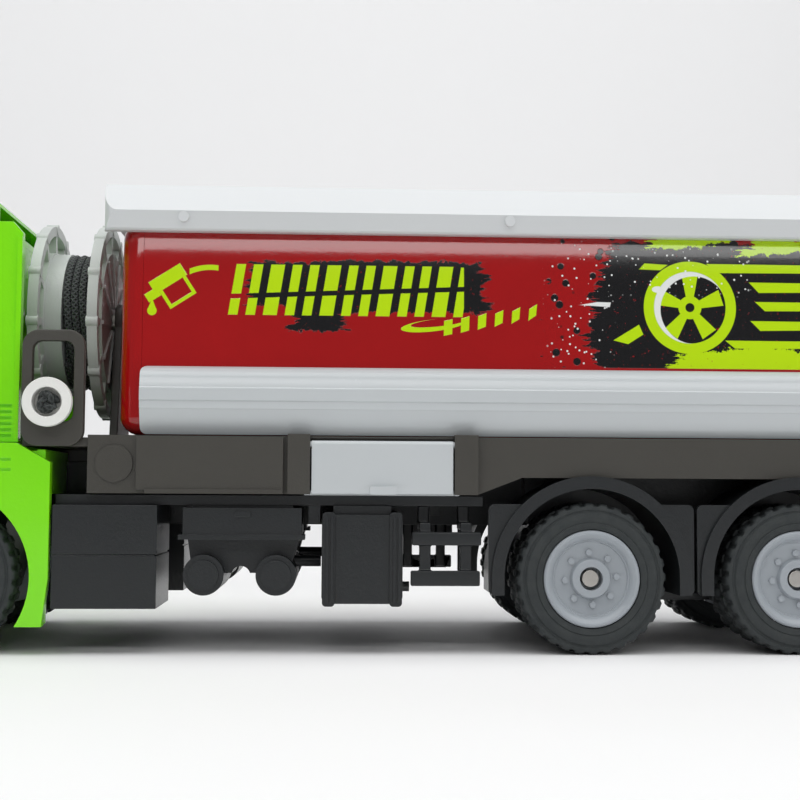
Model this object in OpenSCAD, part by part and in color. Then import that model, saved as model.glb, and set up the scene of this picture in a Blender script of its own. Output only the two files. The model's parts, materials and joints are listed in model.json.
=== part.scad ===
// Toy rigid tanker truck with a hand-wound hose reel, about 1:43.
// The cab faces -X, the left side is -Y, and the tyres stand on z = 0.

/* [Body] */
// Overall length, front bumper to rear lamp bar
truck_length = 208; // [206:1:214]
// Width over the side lockers
body_width = 57; // [56:0.5:60]
// Height of the deck's top above the ground
deck_top = 34.4; // [34:0.1:35]
// Height of the deck's long side skirt
deck_skirt = 6.4; // [5.6:0.2:6.6]

/* [Tank] */
// Width of the tank shell
tank_width = 51; // [49:0.5:51.5]
// Height of the tank's top above the ground
tank_top = 70; // [69:0.5:70.5]
// Radius of the tank's upper edges
tank_round = 4.5; // [4:0.5:6]
// Wall of the moulded shells
wall = 1.4; // [1.2:0.1:1.6]
// Height of the long side panniers
pannier_height = 10.9; // [10:0.1:11.2]

/* [Wheels] */
// Radius of the tyres
tyre_r = 12; // [11.8:0.1:12.1]
// Width of one tyre
tyre_w = 6.5; // [6:0.1:6.6]
// Radius of the steel axle pins
axle_r = 1.36; // [1.3:0.01:1.4]
// Radial clearance of an axle pin in the chassis
axle_gap = 0.06; // [0.04:0.01:0.08]
// Position of the front axle along the truck
front_axle_x = -69; // [-70:0.5:-68.5]
// Position of the first rear axle
rear_axle_x = 33.5; // [33:0.5:34]
// Distance between the rear axles
bogie_pitch = 33.5; // [33:0.5:34]

/* [Hose reel] */
// Outer radius of the reel's flanges
reel_r = 17; // [16:0.5:17]
// Outer radius of the wound hose
wound_r = 12; // [11.5:0.1:12.2]
// Diameter of the braided hose
hose_d = 1.25; // [1.2:0.05:1.4]

/* [Locker] */
// Length of the locker door
door_length = 22.4; // [21:0.1:22.5]
// Height of the locker door
door_height = 8.4; // [8:0.1:8.5]

/* [Hidden] */
$fn = 64;

deck_grey = "#4b4a46";
pale_grey = "#c3c8ca";
tank_red = "#9c1417";
cab_green = "#7dcc1c";
black = "#2b2d2f";

// Main stations along X
front_x = -truck_length / 2;
rear_x = truck_length / 2;
deck_x0 = -46.4;
deck_x1 = rear_x - 3;
seam_x = -38.4;
cap_depth = 3.6;
// Thickness of the slices that the domed caps are drawn through
slice_t = 0.05;
// The tank's wall leans in along a wide arc towards its top
crown_r = 40;
crown_lean = 10;
crown_z = tank_top - tank_round - (crown_r - tank_round) * sin(crown_lean);
tank_x1 = rear_x - 6;
cab_back_x = -62;
// Heights
deck_z0 = deck_top - deck_skirt;
slab_z0 = deck_top - 4;
block_z0 = 25.2;
plate_z0 = 23.4;
plate_z1 = 25;
spine_z0 = 20;
// Half widths
half_w = body_width / 2;
deck_y = 27;
tank_y = tank_width / 2;
wheel_y = 28;
spine_y = 9;
bogie_y = 13;
axle_z = tyre_r;
// Side locker
door_x0 = -11.1;
door_x1 = door_x0 + door_length;
door_t = 1.2;
hinge_y = -(half_w - 0.8);
hinge_z = 33.1;
hinge_pin_r = 0.5;
hinge_gap = 0.06;
// Wheel proportions
flange_r = 7.7;
barrel_r = 7;
// Hose reel
reel_z = 55.3;
reel_x0 = -58.6;
flange_t = 1.7;
shoulder_x = -54;
flange2_x = -48.8;
shaft_r = 1.5;
shaft_gap = 0.06;
drum_r = 8.2;
lead_x = -52.1;
lead_tilt = 9;
lay_r = wound_r - hose_d / 2;
lead_from = 6.1;
ring_y = -28.25;
lead_length = (lay_r * sin(lead_tilt) - ring_y) / cos(lead_tilt);

// A box given by its lowest and highest corners
module slab(lo, hi) {
    translate(lo) cube(hi - lo);
}

// An outline in (y, z) pulled along X
module along_x(x0, x1) {
    translate([x0, 0, 0]) rotate([90, 0, 90]) linear_extrude(x1 - x0) children();
}

// An outline in (x, z) pulled along Y
module along_y(y0, y1) {
    translate([0, y1, 0]) rotate([90, 0, 0]) linear_extrude(y1 - y0) children();
}

// A centred rectangle with true round corners
module round_rect(w, h, r) {
    square([w - 2 * r, h], center = true);
    square([w, h - 2 * r], center = true);
    for (sx = [-1, 1], sy = [-1, 1])
        translate([sx * (w / 2 - r), sy * (h / 2 - r)]) circle(r);
}

// The same, given by its lowest and highest corners
module round_box(lo, hi, r) {
    translate((lo + hi) / 2) round_rect(hi[0] - lo[0], hi[1] - lo[1], r);
}

// A rod or bore along X or Y
module rod_x(x0, x1, y, z, r) {
    translate([x0, y, z]) rotate([0, 90, 0]) cylinder(h = x1 - x0, r = r);
}

module rod_y(x, y0, y1, z, r) {
    translate([x, y1, z]) rotate([90, 0, 0]) cylinder(h = y1 - y0, r = r);
}

// The left-hand child and its mirror image
module both_sides() {
    children();
    mirror([0, 1, 0]) children();
}

// ---------------------------------------------------------------- chassis

function rear_axles() = [rear_axle_x, rear_axle_x + bogie_pitch];
function all_axles() = [front_axle_x, rear_axle_x, rear_axle_x + bogie_pitch];
function screw_places() = [-44, -2, 22, 90];

module bogie_outline() {
    x0 = rear_axle_x;
    x1 = rear_axle_x + bogie_pitch;
    polygon([[x0 - 9, slab_z0], [x0 - 7, 9.5], [x0 - 4, 7.6], [x1 + 4, 7.6], [x1 + 7, 9.5],
        [x1 + 9, slab_z0]]);
}

module front_bearer_outline() {
    x = front_axle_x;
    polygon([[x - 8, spine_z0 + 4], [x - 4, 8.4], [x + 4, 8.4], [x + 8, spine_z0 + 4]]);
}

module chassis_frame() {
    color(black) difference() {
        union() {
            slab([-96, -spine_y, spine_z0], [rear_x - 6.2, spine_y, slab_z0]);
            slab([-51.6, -25, plate_z0], [16.4, 25, plate_z1]);
            along_y(-bogie_y, bogie_y) bogie_outline();
            along_y(-bogie_y, bogie_y) front_bearer_outline();
            for (x = [-46, -24, 8]) slab([x, -11.4, 21.6], [x + 2.4, 11.4, plate_z0 + 0.2]);
        }
        for (x = all_axles()) rod_y(x, -bogie_y - 1, bogie_y + 1, axle_z, axle_r + axle_gap);
        for (x = screw_places()) {
            translate([x, 0, 0]) cylinder(h = slab_z0 + 1, r = 1);
            translate([x, 0, 0]) cylinder(h = spine_z0 + 1.3, r = 2.1);
        }
        // Pockets that lighten the spine from below
        for (x = [-32, -16, 10]) slab([x, -6, spine_z0 - 1], [x + 8, 6, spine_z0 + 3]);
    }
}

module chassis_screws() {
    color("silver") for (x = screw_places()) difference() {
        union() {
            translate([x, 0, spine_z0 + 0.2]) cylinder(h = 1.1, r = 1.9);
            translate([x, 0, spine_z0 + 1.3]) cylinder(h = 11, r = 1);
        }
        slab([x - 1.1, -0.25, spine_z0], [x + 1.1, 0.25, spine_z0 + 0.7]);
        slab([x - 0.25, -1.1, spine_z0], [x + 0.25, 1.1, spine_z0 + 0.7]);
    }
}

// ---------------------------------------------------------------- deck

module deck_side_outline() {
    polygon([[deck_x0, block_z0], [15.3, block_z0], [22.5, deck_z0], [deck_x1, deck_z0],
        [deck_x1, deck_top], [deck_x0, deck_top]]);
}

module deck_left_side() {
    difference() {
        union() {
            along_y(-deck_y, -deck_y + 1.6) deck_side_outline();
            // Raised closed box, posts of the locker door and lower ledge
            slab([seam_x - 0.2, -half_w + 0.2, block_z0 + 0.6], [-15.6, -deck_y, deck_top - 0.2]);
            slab([-37.2, -half_w - 0.1, block_z0], [-15.6, -deck_y, block_z0 + 0.7]);
            slab([-14.9, -half_w, block_z0], [door_x0 - 0.25, -deck_y, deck_top + 0.3]);
            slab([door_x1 + 0.25, -half_w, block_z0], [15.3, -deck_y, deck_top + 0.3]);
            // Embossed disc on the front block
            rod_y(-42.2, -deck_y - 0.35, -deck_y, 29.9, 2.95);
            // Floor and front wall of the block
            slab([deck_x0, -deck_y, block_z0], [15.3, -14, block_z0 + 0.8]);
            slab([deck_x0, -deck_y, block_z0], [deck_x0 + 1.6, -14, deck_top]);
            slab([13.7, -deck_y, block_z0], [15.3, -14, deck_top]);
        }
        // Pocket of the locker tub
        slab([door_x0 - 1.3, -half_w - 1, block_z0 - 1], [door_x1 + 1.3, -13.8, deck_top - 0.6]);
    }
    // Door posts stand in front of the tub's pocket
    for (x = [[-14.9, door_x0 - 0.25], [door_x1 + 0.25, 15.3]]) difference() {
        slab([x[0], -half_w, block_z0], [x[1], -deck_y + 0.4, deck_top + 0.3]);
        door_hinge_bore();
    }
}

// The bore that the door's trunnions run in
module door_hinge_bore() {
    rod_x(door_x0 - 1.9, door_x1 + 1.9, hinge_y, hinge_z, hinge_pin_r + hinge_gap);
}

module deck() {
    color(deck_grey) difference() {
        union() {
            slab([deck_x0, -deck_y, slab_z0], [deck_x1, deck_y, deck_top]);
            both_sides() deck_left_side();
        }
        both_sides() slab([door_x0 - 1.3, -deck_y + 0.4, slab_z0 - 1],
            [door_x1 + 1.3, -13.8, deck_top - 0.6]);
        both_sides() slab([door_x0 - 0.25, -half_w - 1, 20], [door_x1 + 0.25, -deck_y + 0.5, deck_top - 0.3]);
        both_sides() door_hinge_bore();
        for (x = screw_places()) translate([x, 0, slab_z0 - 1]) cylinder(h = 3.4, r = 1);
        // Notch for the rear post of the reel stand
        slab([deck_x0 - 1, -7.1, deck_top - 1], [deck_x0 + 1.5, 7.1, deck_top + 1]);
    }
}

module locker_tub() {
    color(pale_grey) difference() {
        slab([door_x0 - 1.2, -26.4, 25.02], [door_x1 + 1.2, -14.2, deck_top - 0.7]);
        slab([door_x0 - 0.4, -27, 25.9], [door_x1 + 0.4, -15.1, deck_top - 1.6]);
    }
}

module locker_tub_left() {
    locker_tub();
}

module locker_tub_right() {
    mirror([0, 1, 0]) locker_tub();
}

module locker_door() {
    z0 = hinge_z + door_t / 2 - door_height;
    color(pale_grey) {
        slab([door_x0, hinge_y - door_t / 2, z0], [door_x1, hinge_y + door_t / 2, hinge_z]);
        rod_x(door_x0, door_x1, hinge_y, hinge_z, door_t / 2);
        rod_x(door_x0 - 1.7, door_x1 + 1.7, hinge_y, hinge_z, hinge_pin_r);
        along_y(hinge_y - door_t / 2 - 0.8, hinge_y)
            round_box([-1.9, z0 - 0.1], [2.4, z0 + 1.2], 0.3);
    }
}

module locker_door_left() {
    locker_door();
}

module locker_door_right() {
    mirror([0, 1, 0]) locker_door();
}

// ---------------------------------------------------------------- tank

// Points of the tank's right wall, shrunk by g, where it leans in towards its top
function crown_points(g) = [for (t = [0:2:crown_lean])
    [tank_y - crown_r + (crown_r - g) * cos(t), crown_z + (crown_r - g) * sin(t)]];

// The tank's outline in (y, z), shrunk by g, with tight lower corners and a slight crown
module tank_outline(g) {
    r1 = tank_round - g;
    r0 = 3 - g;
    y = tank_y - g;
    z0 = deck_top + g;
    corner_y = tank_y - crown_r + (crown_r - tank_round) * cos(crown_lean);
    corner_z = tank_top - tank_round;
    right = concat([[y - r0, z0], [y, z0 + r0]], crown_points(g), [[corner_y, tank_top - g]]);
    polygon(concat(right, [for (k = [len(right) - 1:-1:0]) [-right[k][0], right[k][1]]]));
    for (s = [-1, 1]) {
        translate([s * corner_y, corner_z]) circle(r1);
        translate([s * (y - r0), z0 + r0]) circle(r0);
    }
}

module tank_shell() {
    color(tank_red) difference() {
        along_x(seam_x, tank_x1 - cap_depth) tank_outline(0);
        along_x(seam_x - 1, tank_x1) tank_outline(wall);
    }
}

// A slice of the tank's outline, drawn in from its edge, for the domed caps
module cap_slice(x, draw_in) {
    along_x(x, x + slice_t) offset(r = -draw_in) tank_outline(0);
}

module tank_cap(x0, dir) {
    depth = cap_depth;
    steps = [for (t = [0:15:90]) [sin(t), 3 * (1 - cos(t))]];
    hull() {
        for (s = steps) cap_slice(x0 + dir * depth * s[0] - (dir < 0 ? slice_t : 0), s[1]);
    }
}

module tank_front_cap() {
    color(tank_red) {
        tank_cap(seam_x, -1);
        along_x(seam_x, seam_x + 1.6) difference() {
            tank_outline(wall + 0.02);
            tank_outline(wall + 1.2);
        }
    }
}

module tank_rear_cap() {
    color(tank_red) {
        tank_cap(tank_x1 - cap_depth, 1);
        along_x(tank_x1 - 5.2, tank_x1 - cap_depth) difference() {
            tank_outline(wall + 0.02);
            tank_outline(wall + 1.2);
        }
    }
}

module walkway_outline() {
    z0 = 67.2;
    polygon([[-26.5, z0], [-26.9, 67.5], [-27.9, 70.2], [-24.6, 74.9], [-20.6, 74.9], [-19.4, 72.6],
        [19.4, 72.6], [20.6, 74.9], [24.6, 74.9], [27.9, 70.2], [26.9, 67.5], [26.5, z0]]);
}

module roof_walkway() {
    x0 = -44.6;
    x1 = tank_x1 + 2;
    color("#e2e5e7") difference() {
        union() {
            intersection() {
                along_x(x0, x1) walkway_outline();
                translate([0, 0, 60]) linear_extrude(20) round_box([x0, -27.9], [x1, 27.9], 2.4);
            }
            both_sides() for (x = [-31.8, 20.4, 72.6]) rod_y(x, -28.15, -27, 69.2, 0.85);
        }
        along_x(x0 - 1, x1 + 1) tank_outline(-0.03);
        // Ends of the tray between the side coamings
        slab([x0 + 3, -16, 72], [x1 - 3, 16, 73.4]);
    }
}

module filler_lids() {
    color("#b9bdbf") for (x = [-16, 30, 76]) translate([x, 0, 72]) {
        cylinder(h = 1.1, r = 7);
        cylinder(h = 1.9, r = 5.6);
        for (a = [0:60:300]) rotate(a) translate([6.2, 0, 0]) cylinder(h = 1.5, r = 0.55, $fn = 16);
    }
}

module pannier() {
    z0 = deck_top + 0.2;
    z1 = z0 + pannier_height;
    x1 = tank_x1 - 2;
    color(pale_grey) intersection() {
        along_x(seam_x, x1) polygon([[-tank_y, z0], [-25.9, z0 + 0.7],
            [-26.45, z0 + 1.6], [-26.95, z0 + 2.7], [-27.3, z0 + 3.9], [-27.45, z0 + 4.1],
            [-27.55, z0 + 5.2], [-27.75, z0 + 5.4], [-27.75, z0 + 7.3], [-27.6, z0 + 7.5],
            [-27.4, z1 - 2], [-27, z1 - 1.1], [-26.4, z1 - 0.4], [-tank_y, z1]]);
        along_y(-30, 0) round_box([seam_x, z0], [x1, z1], 1);
    }
}

module pannier_left() {
    pannier();
}

module pannier_right() {
    mirror([0, 1, 0]) pannier();
}

// ---------------------------------------------------------------- hose reel

module reel_stand() {
    color(deck_grey) difference() {
        union() {
            slab([-61.4, -8, slab_z0], [deck_x0, 8, 34]);
            slab([-56.7, -26.6, 32.5], [deck_x0, 8, 34]);
            for (x = [-60.6, -46.4]) along_x(x, x + 1.4) {
                polygon([[-7, 33.5], [7, 33.5], [3, reel_z], [-3, reel_z]]);
                translate([0, reel_z]) circle(3.4);
            }
        }
        rod_x(-62, -44, 0, reel_z, shaft_r);
    }
}

module reel_shaft() {
    color("silver") {
        rod_x(-60.9, -42.4, 0, reel_z, shaft_r);
        rod_x(-61.7, -60.8, 0, reel_z, 2.3);
    }
}

// One spoked flange, from x0 to x1, with knobs round its rim
module flange(x0, x1) {
    difference() {
        rod_x(x0, x1, 0, reel_z, reel_r);
        rod_x(x0 - 1, x1 + 1, 0, reel_z, reel_r - 1.7);
    }
    rod_x(x0, x1, 0, reel_z, 12.3);
    for (a = [0:30:330]) translate([0, 0, reel_z]) rotate([a + 5.7, 0, 0]) {
        slab([x0 + 0.2, -reel_r + 0.6, -0.6], [x1 - 0.2, -12, 0.6]);
        rod_x(x0 - 0.15, x1 + 0.15, -reel_r + 0.6, 0, 0.95);
    }
}

module hose_reel() {
    color("#bcc2c2") difference() {
        union() {
            flange(reel_x0, reel_x0 + flange_t);
            rod_x(reel_x0 + 1, shoulder_x, 0, reel_z, wound_r + 0.1);
            rod_x(reel_x0 + 1, flange2_x, 0, reel_z, drum_r);
        }
        rod_x(reel_x0 - 1, flange2_x + 1, 0, reel_z, shaft_r + shaft_gap);
    }
}

module reel_flange() {
    color("#bcc2c2") difference() {
        union() {
            flange(flange2_x, flange2_x + flange_t);
            for (a = [0:30:330]) translate([0, 0, reel_z]) rotate([a + 5.7, 0, 0])
                slab([flange2_x + 1.4, -12.2, -0.3], [flange2_x + flange_t + 0.35, -3, 0.3]);
        }
        rod_x(flange2_x - 1, flange2_x + 4, 0, reel_z, shaft_r + shaft_gap);
    }
}

module hose_winding() {
    color("#202422") difference() {
        rod_x(shoulder_x, flange2_x, 0, reel_z, wound_r);
        rod_x(shoulder_x - 1, flange2_x + 1, 0, reel_z, drum_r);
    }
}

// Puts a shape on the hose's straight run: +Z there leads out to the left
module on_lead() {
    translate([lead_x, lay_r * sin(lead_tilt), reel_z - lay_r * cos(lead_tilt)])
        rotate([90 + lead_tilt, 0, 0]) children();
}

module hose_lead() {
    color("#202422") on_lead() translate([0, 0, lead_from])
        cylinder(h = lead_length - lead_from - 0.12, r = hose_d / 2);
}

module hose_end_ring() {
    ring_z = reel_z - lay_r * cos(lead_tilt) - lead_length * sin(lead_tilt);
    color("#e4e4de") translate([lead_x, ring_y, ring_z]) rotate([90, 0, 0]) difference() {
        union() {
            cylinder(h = 2.9, r = 3.5);
            translate([0, 0, 1.5]) cylinder(h = 1.4, r = 3.85);
        }
        translate([0, 0, 0.6]) cylinder(h = 4, r = 2.3);
    }
}

module hose_guide() {
    color(deck_grey) difference() {
        along_y(-28.2, -26.6) round_box([-56.7, 32.5], [-46.9, 50.9], 2.6);
        along_y(-29, -26) round_box([-55, 36.4], [-48.6, 49.1], 1.4);
    }
}

// ---------------------------------------------------------------- cab

// The cab's side outline in (x, z), drawn in by g
module cab_side(g) {
    polygon([[-102.6 + g, 33 - g], [-103 + g, 45], [-101 + g * 0.9, 50.4], [-96.4 + g * 0.8, 65 - g * 0.5],
        [-93 + g * 0.6, 67.4 - g], [-88, 68 - g], [cab_back_x - g, 68 - g], [cab_back_x - g, 33 - g]]);
}

module cab_block(g) {
    intersection() {
        along_y(-26 + g, 26 - g) cab_side(g);
        translate([0, 0, 30]) linear_extrude(45)
            round_box([-103 + g, -26 + g], [cab_back_x - g, 26 - g], 3.6 - g);
        along_x(-110, -50) translate([0, 48]) round_rect(52 - 2 * g, 40 - 2 * g, 3.6 - g);
    }
}

module side_window() {
    polygon([[-97.6, 48.6], [-93.6, 62.6], [-80, 63.6], [-78.6, 62.2], [-78.6, 48.6]]);
}

module cab_windows() {
    slab([-104, -21.5, 50.8], [-94.6, 21.5, 63.8]);
    along_y(-27, 27) side_window();
}

module cab_shell() {
    color(cab_green) difference() {
        cab_block(0);
        cab_block(wall);
        slab([-102, -24.6, 32], [cab_back_x - wall, 24.6, 36]);
        cab_windows();
        both_sides() {
            // Door gap, waist groove and handle recess
            for (x = [-99.2, -76.6]) slab([x, -27, 34], [x + 0.35, -25.7, 47]);
            slab([-99.2, -27, 34.2], [-76.3, -25.7, 34.5]);
            slab([-76.6, -27, 47], [-76.3, -25.7, 65]);
            slab([-82, -27, 44.6], [-77.8, -25.6, 46]);
        }
    }
}

module cab_glazing() {
    color([0.12, 0.14, 0.15, 0.6]) intersection() {
        difference() {
            cab_block(wall + 0.02);
            cab_block(wall + 0.8);
            slab([-98, -30, 40], [-92, 30, 47.6]);
        }
        union() {
            slab([-104, -22.4, 48], [-92.2, 22.4, 65]);
            both_sides() slab([-99, -26, 47.6], [-77.4, -22, 64.8]);
        }
    }
}

module cab_interior() {
    color("#3a3b3c") {
        slab([-99.6, -23.8, 33.2], [-64.6, 23.8, 34.6]);
        slab([-100.6, -22.2, 34.6], [-94.4, 22.2, 46.2]);
        both_sides() {
            slab([-84.6, -19, 34.6], [-73.4, -5, 41]);
            slab([-76.4, -19, 40.8], [-72.4, -5, 57]);
            slab([-76, -15.6, 56.8], [-73, -8.4, 61]);
        }
    }
}

module steering_wheel() {
    color("#222222") translate([-91.4, -12, 47.8]) rotate([0, 58, 0]) {
        rotate_extrude() translate([4.2, 0]) circle(0.55, $fn = 24);
        for (a = [0:120:240]) rotate(a) slab([0, -0.4, -0.3], [4, 0.4, 0.3]);
        translate([0, 0, -0.6]) cylinder(h = 1.2, r = 1.3);
        translate([0, 0, -3.4]) cylinder(h = 3, r = 0.7);
    }
}

module cab_base_outline() {
    polygon([[front_x + 0.4, 6], [front_x, 20], [front_x, 31], [-102.6, 33], [-57.2, 33], [-51.9, 30],
        [-51.9, 12], [-52.8, 4.4], [-102, 4.6]]);
}

module cab_base() {
    side_t = 1.8;
    arch_r = 14.2;
    color(cab_green) difference() {
        union() {
            both_sides() {
                along_y(-28.3, -28.3 + side_t) cab_base_outline();
                // Wheel arch lining and the thick rear end of the side
                along_y(-27, -19.6) difference() {
                    translate([front_axle_x, axle_z]) circle(arch_r + 1.3);
                    translate([front_axle_x - 20, -14]) square([40, 28]);
                }
                slab([-57.4, -27, 4.6], [-52.9, -24, 31.8]);
            }
            slab([front_x + 0.3, -27, 6], [front_x + 2.6, 27, 31.6]);
            slab([front_x + 0.3, -27, 31.4], [-57.2, 27, 32.9]);
            slab([-54.2, -27, 25], [-53, 27, 32]);
        }
        both_sides() rod_y(front_axle_x, -30, -18, axle_z, arch_r);
        slab([-101, -spine_y - 0.2, 18], [-50, spine_y + 0.2, slab_z0 + 0.2]);
        slab([-99.8, -24, 31], [-64.4, 24, 36]);
        slab([-62.4, -8.4, slab_z0 - 0.4], [-50, 8.4, 36]);
        // Grille and lamp recesses, step recesses and louvres in the sides
        slab([front_x - 1, -15, 12], [front_x + 1, 15, 18]);
        both_sides() {
            slab([front_x - 1, -25, 19.4], [front_x + 1.3, -16.6, 26.4]);
            slab([-98, -29, 12], [-87, -27.4, 16]);
            slab([-97, -29, 20], [-87.5, -27.4, 24.4]);
            for (z = [28.6, 30.2]) slab([-80, -29, z], [-58, -28, z + 0.4]);
        }
    }
}

module fairing_outline() {
    polygon([[cab_back_x + 0.1, 33.2], [-57.4, 33.2], [-57.4, 66.6], [-59, 68.4], [cab_back_x + 0.1, 68.4]]);
}

module cab_side_fairings() {
    color(cab_green) both_sides() difference() {
        union() {
            along_y(-26, -24.6) fairing_outline();
            slab([cab_back_x + 0.1, -24.8, 34], [cab_back_x + 1.1, -20, 66]);
            slab([-58.2, -26.4, 33.2], [-57.4, -24.6, 66]);
        }
        for (k = [0:5]) slab([-61.4, -27, 33.9 + k * 0.95], [-58.6, -25.5, 34.4 + k * 0.95]);
    }
}

module roof_deflector() {
    color(cab_green) difference() {
        intersection() {
            along_y(-24, 24) polygon([[-93, 68.02], [cab_back_x, 68.02], [cab_back_x, 72], [-66, 73.4],
                [-74, 73.2], [-84, 71.4]]);
            along_x(-100, -50) round_box([-24, 60], [24, 73.4], 3.4);
        }
        along_y(-22.4, 22.4) polygon([[-70, 69.2], [-60, 69.2], [-60, 71.2], [-66, 71.9]]);
    }
}

module front_grille() {
    color(black) {
        slab([front_x + 0.4, -13.6, 34.2], [-103.02, 13.6, 45]);
        for (k = [0:4]) slab([front_x + 0.1, -13, 35 + k * 2], [front_x + 0.6, 13, 36 + k * 2]);
        slab([front_x + 0.4, -14.9, 12.1], [front_x + 1, 14.9, 17.9]);
    }
}

module headlights() {
    color([0.85, 0.9, 0.95, 0.6]) both_sides() {
        along_x(front_x + 0.1, front_x + 1.25) round_box([-24.9, 19.5], [-16.7, 26.3], 1.2);
        for (y = [-22.8, -18.8]) rod_x(front_x + 0.3, front_x + 0.9, y, 22.9, 1.5);
    }
}

module mirrors() {
    color(black) both_sides() {
        slab([-99.3, -28.6, 59], [-98.3, -26.03, 60]);
        slab([-98.5, -26.6, 59], [-96.2, -26.03, 60]);
        slab([-99.3, -28.6, 50.6], [-98.3, -26.03, 51.6]);
        along_x(-100, -97.8) round_box([ring_y - 2.9, 49.6], [-27.6, 61], 1.2);
    }
}

// ---------------------------------------------------------------- under the deck

module battery_box() {
    color(black) difference() {
        slab([-51.5, -28, 7.2], [-35.2, -11.6, plate_z0]);
        slab([-52, -28.5, 15.4], [-35, -27.75, 15.7]);
        slab([-35.5, -28.5, 15.4], [-35, -11, 15.7]);
    }
}

module battery_box_left() {
    battery_box();
}

module battery_box_right() {
    mirror([0, 1, 0]) battery_box();
}

module tool_tray() {
    color(black) {
        slab([-31.3, -27.2, 18.7], [-12.6, -14, 23]);
        slab([-30, -25, 22.8], [-14, -14, plate_z0]);
        slab([-32, -27.6, 18], [-12.1, -22, 18.8]);
        slab([-23.1, -27.6, 21.6], [-20.6, -27.1, 22.4]);
        slab([-11.6, -25, 20.6], [-9.7, -13.2, plate_z0]);
    }
}

module tool_tray_left() {
    tool_tray();
}

module tool_tray_right() {
    mirror([0, 1, 0]) tool_tray();
}

module air_tanks() {
    color(black) both_sides() {
        for (x = [-28, -16.6]) {
            rod_y(x, -26.8, -9.6, 12.4, 3.2);
            rod_y(x, -27.2, -26.8, 12.4, 2.4);
        }
        air_tank_bracket();
    }
}

// The bracket that hangs the two air tanks of a side under its tool tray
module air_tank_bracket() {
    along_y(-24, -14) difference() {
        polygon([[-30.8, 18], [-13, 18], [-14.6, 12.6], [-30, 12.6]]);
        translate([-22.3, 12.2]) circle(1.5);
    }
    rod_x(-14.8, -9.6, -17, 14.2, 0.9);
}

module fuel_tank() {
    color(black) {
        along_y(-27.6, -11.6) round_box([-9.4, 8], [3.4, 22], 1.2);
        slab([-7.6, -26, 21.8], [1.6, -12, plate_z0]);
        for (x = [-9.3, 1.3]) along_y(-28, -11.4) round_box([x, 7.6], [x + 2, 22.4], 0.6);
        for (x = [-8.75, -7.95, 1.85, 2.65]) slab([x, -28.3, 8.2], [x + 0.4, -27.9, 21.8]);
        rod_x(3.2, 4.7, -22, 10.4, 0.8);
    }
}

module fuel_tank_left() {
    fuel_tank();
}

module fuel_tank_right() {
    mirror([0, 1, 0]) fuel_tank();
}

module side_guard() {
    color(black) {
        slab([4.9, -27.4, 17.2], [15.9, -26.2, 19.3]);
        slab([4.7, -27.4, 10.8], [15.7, -26.2, 13.2]);
        for (x = [6.1, 12.6]) {
            slab([x, -26.7, 11], [x + 1.8, -25.4, 20.6]);
            slab([x, -26.7, 19.6], [x + 1.8, -20, 20.8]);
            slab([x, -22, 20.6], [x + 1.8, -20, plate_z0]);
        }
    }
}

module side_guard_left() {
    side_guard();
}

module side_guard_right() {
    mirror([0, 1, 0]) side_guard();
}

// One arch: a half ring with a lip, and flat corner webs behind its outer edge
module mudguard() {
    lift = axle_z + 0.3;
    difference() {
        union() {
            along_y(-28.3, -13.4) difference() {
                translate([0, lift]) circle(deck_z0 - lift);
                translate([-20, -12]) square([40, lift + 12]);
            }
            slab([-15.7, -28.3, 9.4], [15.7, -13.4, lift + 0.1]);
            along_y(-28.3, -27.3) difference() {
                translate([0, lift]) circle(16);
                translate([-20, -12]) square([40, lift + 12]);
            }
            slab([-16, -28.3, 9.4], [16, -27.3, lift + 0.1]);
            // Corner webs, set back behind the arch's band
            along_y(-27.6, -26.6) round_box([-16.5, 9.4], [16.5, 23.8], 1);
        }
        rod_y(0, -30, -12, lift, 14);
        slab([-14, -30, 0], [14, -12, lift]);
    }
}

module mudguards() {
    color(black) for (x = rear_axles()) translate([x, 0, 0]) mudguard();
}

module mudguards_left() {
    mudguards();
}

module mudguards_right() {
    mirror([0, 1, 0]) mudguards();
}

module rear_lamp_bar() {
    color(black) {
        slab([rear_x - 6.2, -25, 19], [rear_x - 4, 25, 27.8]);
        slab([rear_x - 6.2, -23, 10], [rear_x - 4.4, 23, 13]);
        both_sides() slab([rear_x - 6, -14, 12.8], [rear_x - 4.6, -11, 19.2]);
        both_sides() slab([rear_x - 4.2, -24.6, 20], [rear_x - 3.2, -14.6, 25.4]);
    }
}

module tail_lamps() {
    color("#c01818") both_sides() {
        for (y = [-23.2, -19.6, -16]) rod_x(rear_x - 3.2, rear_x - 2.4, y, 22.7, 1.35);
    }
}

module rear_ladder() {
    rail_x = rear_x - 0.9;
    color("silver") {
        for (y = [-19, -11]) translate([rail_x, y, deck_top]) cylinder(h = 36, r = 0.9);
        for (z = [38:5:68]) rod_y(rail_x, -19, -11, z, 0.6);
        for (y = [-19, -11], z = [40, 64]) rod_x(tank_x1 + slice_t, rail_x, y, z, 0.7);
    }
}

// ---------------------------------------------------------------- wheels

module axle(x) {
    color("silver") {
        rod_y(x, -26.5, 26.5, axle_z, axle_r);
    }
}

module axle_front() {
    axle(front_axle_x);
}

module axle_rear_1() {
    axle(rear_axle_x);
}

module axle_rear_2() {
    axle(rear_axle_x + bogie_pitch);
}

// Places a left-hand wheel: local +Z is the outward -Y direction, z = 0 its outer face
module wheel_at(x) {
    translate([x, -wheel_y, axle_z]) rotate([90, 0, 0]) children();
}

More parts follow.
